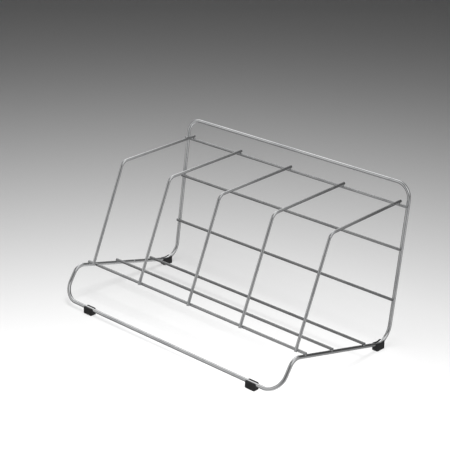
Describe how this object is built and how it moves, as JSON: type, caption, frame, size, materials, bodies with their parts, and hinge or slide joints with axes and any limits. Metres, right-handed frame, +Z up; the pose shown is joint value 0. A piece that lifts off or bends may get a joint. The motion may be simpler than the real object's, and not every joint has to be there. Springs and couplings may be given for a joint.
{
  "type": "desktop file sorter",
  "caption": "Chromed wire desktop sorter that stands files and binders on edge between inverted-L dividers, on a base that slopes back to a leaning grid; soft feet.",
  "frame": {"origin": "on the desk surface, under the middle of the whole sorter's box", "axes": "+X to the right along the cross bars, +Y from the low front rail to the leaning back, +Z up"},
  "size_m": [0.4104, 0.2566, 0.2227],
  "materials": {
    "loop_wire": "bright chrome plate on drawn steel wire",
    "bar_wire": "bright chrome plate on drawn steel wire",
    "divider_wire": "bright chrome plate on drawn steel wire",
    "foot_rubber": "black moulded rubber, satin"
  },
  "bodies": {
    "root": {"frame_loop": "loop_wire", "base_bar_rear": "bar_wire", "base_bar_middle": "bar_wire", "base_bar_front": "bar_wire", "back_bar_lower": "bar_wire", "back_bar_middle": "bar_wire", "back_bar_upper": "bar_wire", "divider_1": "divider_wire", "divider_2": "divider_wire", "divider_3": "divider_wire", "divider_4": "divider_wire", "divider_5": "divider_wire", "foot_front_left": "foot_rubber", "foot_front_right": "foot_rubber", "foot_rear_left": "foot_rubber", "foot_rear_right": "foot_rubber"}
  },
  "joints": []
}
